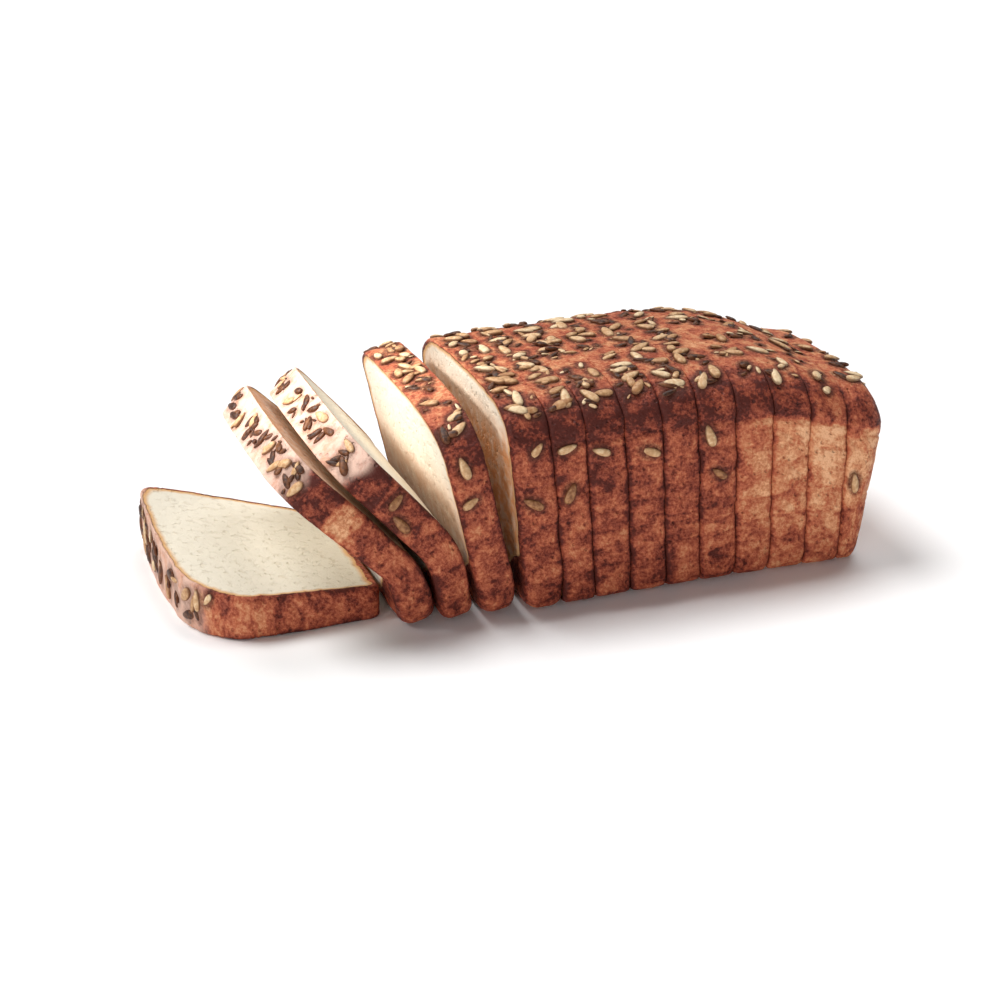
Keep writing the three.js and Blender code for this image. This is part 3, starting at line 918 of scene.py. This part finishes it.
def colour(text):
    """A colour as it looks on a screen, such as b9714c, as the shader's own numbers."""
    shown = [int(text[i:i + 2], 16) / 255 for i in (0, 2, 4)]
    return [v / 12.92 if v <= 0.04045 else ((v + 0.055) / 1.055) ** 2.4 for v in shown] + [1]


class Shader:
    """A material and its nodes, made in short calls."""

    def __init__(self, name):
        self.material = bpy.data.materials.new(name)
        self.material.use_nodes = True
        self.tree = self.material.node_tree
        self.surface = self.tree.nodes["Principled BSDF"]

    def fill(self, node, inputs):
        for key, value in inputs.items():
            if isinstance(value, bpy.types.NodeSocket):
                self.tree.links.new(value, node.inputs[key])
            else:
                node.inputs[key].default_value = value
        return node.outputs

    def node(self, kind, inputs, **settings):
        node = self.tree.nodes.new(kind)
        for key, value in settings.items():
            setattr(node, key, value)
        return self.fill(node, inputs)

    def attribute(self, name, output="Fac"):
        return self.node("ShaderNodeAttribute", {}, attribute_name=name)[output]

    def noise(self, at, size, detail, roughness):
        inputs = {"Vector": at, "Scale": 1 / size, "Detail": detail, "Roughness": roughness}
        return self.node("ShaderNodeTexNoise", inputs)["Fac"]

    def cells(self, at, size, full, gone):
        """Round spots about `size` apart: 1 out to the share `full` of it, and 0 from `gone`."""
        inputs = {"Vector": at, "Scale": 1 / size}
        distance = self.node("ShaderNodeTexVoronoi", inputs)["Distance"]
        return self.range(distance, full, gone, 1.0, 0.0)

    def math(self, operation, a, b):
        return self.node("ShaderNodeMath", {0: a, 1: b}, operation=operation)[0]

    def add(self, a, b):
        return self.math("ADD", a, b)

    def times(self, a, b):
        return self.math("MULTIPLY", a, b)

    def larger(self, a, b):
        return self.math("MAXIMUM", a, b)

    def range(self, value, low, high, to_low=0.0, to_high=1.0):
        """A soft step: `to_low` where the value is `low` and `to_high` where it is `high`."""
        inputs = {
            "Value": value, "From Min": low, "From Max": high, "To Min": to_low, "To Max": to_high,
        }
        return self.node("ShaderNodeMapRange", inputs, interpolation_type="SMOOTHSTEP")["Result"]

    def about(self, noise, amount):
        """A noise made to run from -amount to amount."""
        return self.range(noise, *NOISE_SPAN, -amount, amount)

    def mix(self, share, a, b):
        inputs = {0: share, 6: a, 7: b}
        return self.node("ShaderNodeMix", inputs, data_type="RGBA")[2]

    def ramp(self, value, stops):
        node = self.tree.nodes.new("ShaderNodeValToRGB")
        elements = node.color_ramp.elements
        while len(elements) < len(stops):
            elements.new(0.5)
        for element, (place, text) in zip(elements, stops):
            element.position = place
            element.color = colour(text)
        return self.fill(node, {"Fac": value})["Color"]

    def bump(self, height, distance):
        inputs = {"Height": height, "Distance": distance * MM, "Strength": 1.0}
        return self.node("ShaderNodeBump", inputs)["Normal"]


CRUST_COLOURS = [  # from pale tan to burnt
    (0.0, "eeb488"), (0.15, "dc9a6e"), (0.3, "cc845b"), (0.5, "bb6443"), (0.7, "9a4931"),
    (0.9, "742d1d"), (1.0, "521b10"),
]
# painted highlight: the crust where glare and light are painted pale
LIT_PALE_CRUST = "e6c0ac"
SEED_SHADOW = "4a2013"  # painted shadow on the crust round a seed
CRUMB = "e4dccb"
CRUMB_SHADE = "d8c9ae"
UNDER_CRUST = "d8a874"  # of the crumb next to the crust
# painted warm shade of the crumb deep in the gaps between slices:
GAP_SHADE_TAN = "c6824a"
SEED_COLOURS = [  # by tone
    (0.0, "3a2014"), (0.25, "7a4a2a"), (0.5, "ac7a50"), (0.75, "d0a679"), (1.0, "ecd2aa"),
]
# real brown of a seed's ends, and painted shade round its edge:
SEED_TIP_AND_SHADE = "6a3c20"

# How much the browning varies over the crust.
VARIED = {"mottle": 0.25, "grain": 0.18, "pits": 0.14}
CRUST_EDGE = [0.55, 1.15]  # mm inside the edge of a cut face, where crust turns into crumb
CRUST_EDGE_VARIED = 0.35
UNDER_CRUST_EDGE = [1.2, 3.6]
CRUMB_SHADES = {"open": 0.7, "fine": 0.15, "colour": 0.4}
BREAD_BUMP = 0.55  # mm

SEED_VARIED = 0.14
SEED_TIP_AND_SHADE_SHARE = 0.75
SEED_BUMP = 0.3  # mm


def bread_material():
    """Crust and crumb in one: `rim` says how far a point lies inside the edge of a cut face.
    Both are matt, and only the crust has a faint sheen."""
    shader = Shader("bread")
    at = shader.attribute("bread_at", "Vector")
    mottle = shader.noise(at, size=6, detail=5, roughness=0.65)
    grain = shader.noise(at, size=1.3, detail=4, roughness=0.7)
    pits = shader.cells(at, size=3.3, full=0.06, gone=0.26)

    bake_and_shade = shader.add(shader.attribute("bake_and_shade"), shader.about(mottle, VARIED["mottle"]))
    bake_and_shade = shader.add(bake_and_shade, shader.about(grain, VARIED["grain"]))
    bake_and_shade = shader.add(bake_and_shade, shader.times(pits, VARIED["pits"]))
    crust = shader.ramp(bake_and_shade, CRUST_COLOURS)
    # Painted glare and light, drawn as pale crust on the leaning slices and the lying one's dome.
    painted_light = shader.attribute("painted_light")
    lit_pale_share = shader.times(painted_light, shader.range(mottle, 0.3, 0.55, to_low=0.35))
    crust = shader.mix(lit_pale_share, crust, colour(LIT_PALE_CRUST))
    # Painted shadow of the seeds on the crust round them.
    dark = shader.range(grain, 0.3, 0.6, to_low=0.45, to_high=0.9)
    seed_shadow = shader.times(shader.attribute("seed_near"), dark)
    seed_shadow = shader.times(seed_shadow, shader.range(painted_light, 0.0, 1.0, to_low=1.0, to_high=0.45))
    crust = shader.mix(seed_shadow, crust, colour(SEED_SHADOW))

    open_crumb = shader.range(shader.noise(at, size=3.1, detail=3, roughness=0.55), 0.52, 0.72)
    fine_pores = shader.cells(at, size=1.4, full=0.1, gone=0.42)
    shade = shader.larger(
        shader.times(open_crumb, CRUMB_SHADES["open"]),
        shader.times(fine_pores, CRUMB_SHADES["fine"]),
    )
    shade_share = shader.times(shade, CRUMB_SHADES["colour"])
    crumb = shader.mix(shade_share, colour(CRUMB), colour(CRUMB_SHADE))
    # Painted shade: the crumb deep in the gaps between slices turns warm tan.
    gap_shade = shader.times(shader.attribute("gap_shade"), shader.range(mottle, 0.35, 0.6, to_low=0.6))
    crumb = shader.mix(gap_shade, crumb, colour(GAP_SHADE_TAN))
    rim = shader.add(shader.attribute("rim"), shader.about(mottle, CRUST_EDGE_VARIED))
    crumb = shader.mix(shader.range(rim, *UNDER_CRUST_EDGE), colour(UNDER_CRUST), crumb)
    is_crumb = shader.range(rim, *CRUST_EDGE)

    crust_roughness = shader.range(grain, 0.35, 0.65, to_low=0.5, to_high=0.78)
    crust_height = shader.math("SUBTRACT", shader.add(grain, mottle), pits)
    crumb_height = shader.times(shade, -1.0)
    height = shader.node("ShaderNodeMix", {0: is_crumb, 2: crust_height, 3: crumb_height})[0]
    shader.fill(shader.surface, {
        "Base Color": shader.mix(is_crumb, crust, crumb),
        "Roughness": shader.larger(crust_roughness, is_crumb),
        "Specular IOR Level": 0.3,
        "Normal": shader.bump(height, BREAD_BUMP),
    })
    return shader.material


def seed_material():
    """Toasted kernels, brown at both ends, with painted shade round their edge and under them,
    and a satin sheen.
    """
    shader = Shader("seed")
    at = shader.node("ShaderNodeTexCoord", {})["Object"]
    streaks = shader.noise(at, size=1.6 * MM, detail=3, roughness=0.6)
    tone = shader.add(shader.attribute("tone"), shader.about(streaks, SEED_VARIED))
    body = shader.ramp(tone, SEED_COLOURS)
    length = shader.attribute("length")
    ends = shader.larger(shader.range(length, 0.82, 1.0), shader.range(length, 0.14, 0.0))
    # Painted shade on the lower side and edge of each seed.
    edge = shader.range(shader.attribute("raised"), 0.6, 0.2)
    tips_and_shade = shader.times(shader.larger(ends, edge), SEED_TIP_AND_SHADE_SHARE)
    shader.fill(shader.surface, {
        "Base Color": shader.mix(tips_and_shade, body, colour(SEED_TIP_AND_SHADE)),
        "Roughness": 0.5,
        "Specular IOR Level": 0.35,
        "Normal": shader.bump(streaks, SEED_BUMP),
    })
    return shader.material


def floor_material():
    shader = Shader("floor")
    surface = {"Base Color": colour(WHITE), "Roughness": 1, "Specular IOR Level": 0}
    shader.fill(shader.surface, surface)
    return shader.material


# ---- floor, light and camera ----

PICTURE = 1000  # pixels
FOCAL_PIXELS = 2000  # the focal length in such pixels
SENSOR = 36
AZIMUTH = -20.5  # degrees, counted from the near side towards the heel
ELEVATION = 24
DISTANCE = 821.4  # from the camera to the origin, along the view
ORIGIN_PIXEL = (630.4, 533.7)  # where the origin is in the photograph

FLOOR_SIZE = 60000  # mm
WHITE = "ffffff"
WORLD_STRENGTH = 0.14
# Soft lights from far off: azimuth, elevation, width in the sky and strength.
LIGHTS = [
    ("from_behind_left", -134, 61, 28, 2.35),
    ("from_behind_right", 140, 60, 30, 1.15),
    ("from_the_front", -45, 7, 14, 1.15),
]
# A narrow lamp nearer by, up on the left, for the cut faces between the slices there.
LAMP = {"at": [-430, 18, 340], "aim": [-86, 8, 46], "cone": 17, "radius": 30, "power": 13.5}


def make_floor():
    half = FLOOR_SIZE / 2 * MM
    mesh = bpy.data.meshes.new("floor")
    corners = [(-half, -half, 0), (half, -half, 0), (half, half, 0), (-half, half, 0)]
    mesh.from_pydata(corners, [], [[0, 1, 2, 3]])
    mesh.materials.append(floor_material())
    new_object("floor", mesh)


def direction(azimuth, elevation):
    azimuth, elevation = math.radians(azimuth), math.radians(elevation)
    level = math.cos(elevation)
    return Vector((math.sin(azimuth) * level, -math.cos(azimuth) * level, math.sin(elevation)))


def hang(data, towards):
    """Puts a light in the scene that shines away from the direction `towards`."""
    lamp = new_object(data.name, data)
    lamp.rotation_euler = towards.to_track_quat("Z", "Y").to_euler()
    return lamp


def make_lights():
    world = bpy.data.worlds.new("studio")
    world.use_nodes = True
    background = world.node_tree.nodes["Background"].inputs
    background["Color"].default_value = colour(WHITE)
    background["Strength"].default_value = WORLD_STRENGTH
    bpy.context.scene.world = world
    for name, azimuth, elevation, wide, strength in LIGHTS:
        data = bpy.data.lights.new(name, "SUN")
        data.angle = math.radians(wide)
        data.energy = strength
        hang(data, direction(azimuth, elevation))
    data = bpy.data.lights.new("lamp", "SPOT")
    data.spot_size = math.radians(LAMP["cone"])
    data.spot_blend = 1
    data.shadow_soft_size = LAMP["radius"] * MM
    data.energy = LAMP["power"]
    lamp = hang(data, Vector(LAMP["at"]) - Vector(LAMP["aim"]))
    lamp.location = Vector(LAMP["at"]) * MM


def make_camera():
    """The photograph's angle, perspective and framing."""
    back = direction(AZIMUTH, ELEVATION)
    right = Vector((0, 0, 1)).cross(back).normalized()
    up = back.cross(right)
    scale = DISTANCE / FOCAL_PIXELS
    middle = PICTURE / 2
    place = (
        back * DISTANCE
        - right * (ORIGIN_PIXEL[0] - middle) * scale
        + up * (ORIGIN_PIXEL[1] - middle) * scale
    )
    data = bpy.data.cameras.new("camera")
    data.sensor_width = SENSOR
    data.lens = FOCAL_PIXELS * SENSOR / PICTURE
    camera = new_object("camera", data)
    turn = Matrix((right, up, back)).transposed()
    camera.matrix_world = Matrix.Translation(place * MM) @ turn.to_4x4()
    bpy.context.scene.camera = camera


# ---- the scene ----

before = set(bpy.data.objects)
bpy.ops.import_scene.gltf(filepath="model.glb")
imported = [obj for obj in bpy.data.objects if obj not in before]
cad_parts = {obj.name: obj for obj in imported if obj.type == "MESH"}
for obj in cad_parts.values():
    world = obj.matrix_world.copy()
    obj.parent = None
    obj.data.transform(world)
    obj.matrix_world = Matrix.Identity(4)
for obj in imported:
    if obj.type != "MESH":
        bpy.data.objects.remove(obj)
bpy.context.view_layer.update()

bread = bread_material()
loaf = all_slices()
for loaf_slice in loaf:
    make_slice(loaf_slice, bread)
make_seeds(loaf, seed_material())

make_floor()
make_lights()
make_camera()
bpy.context.scene.view_settings.view_transform = "Standard"
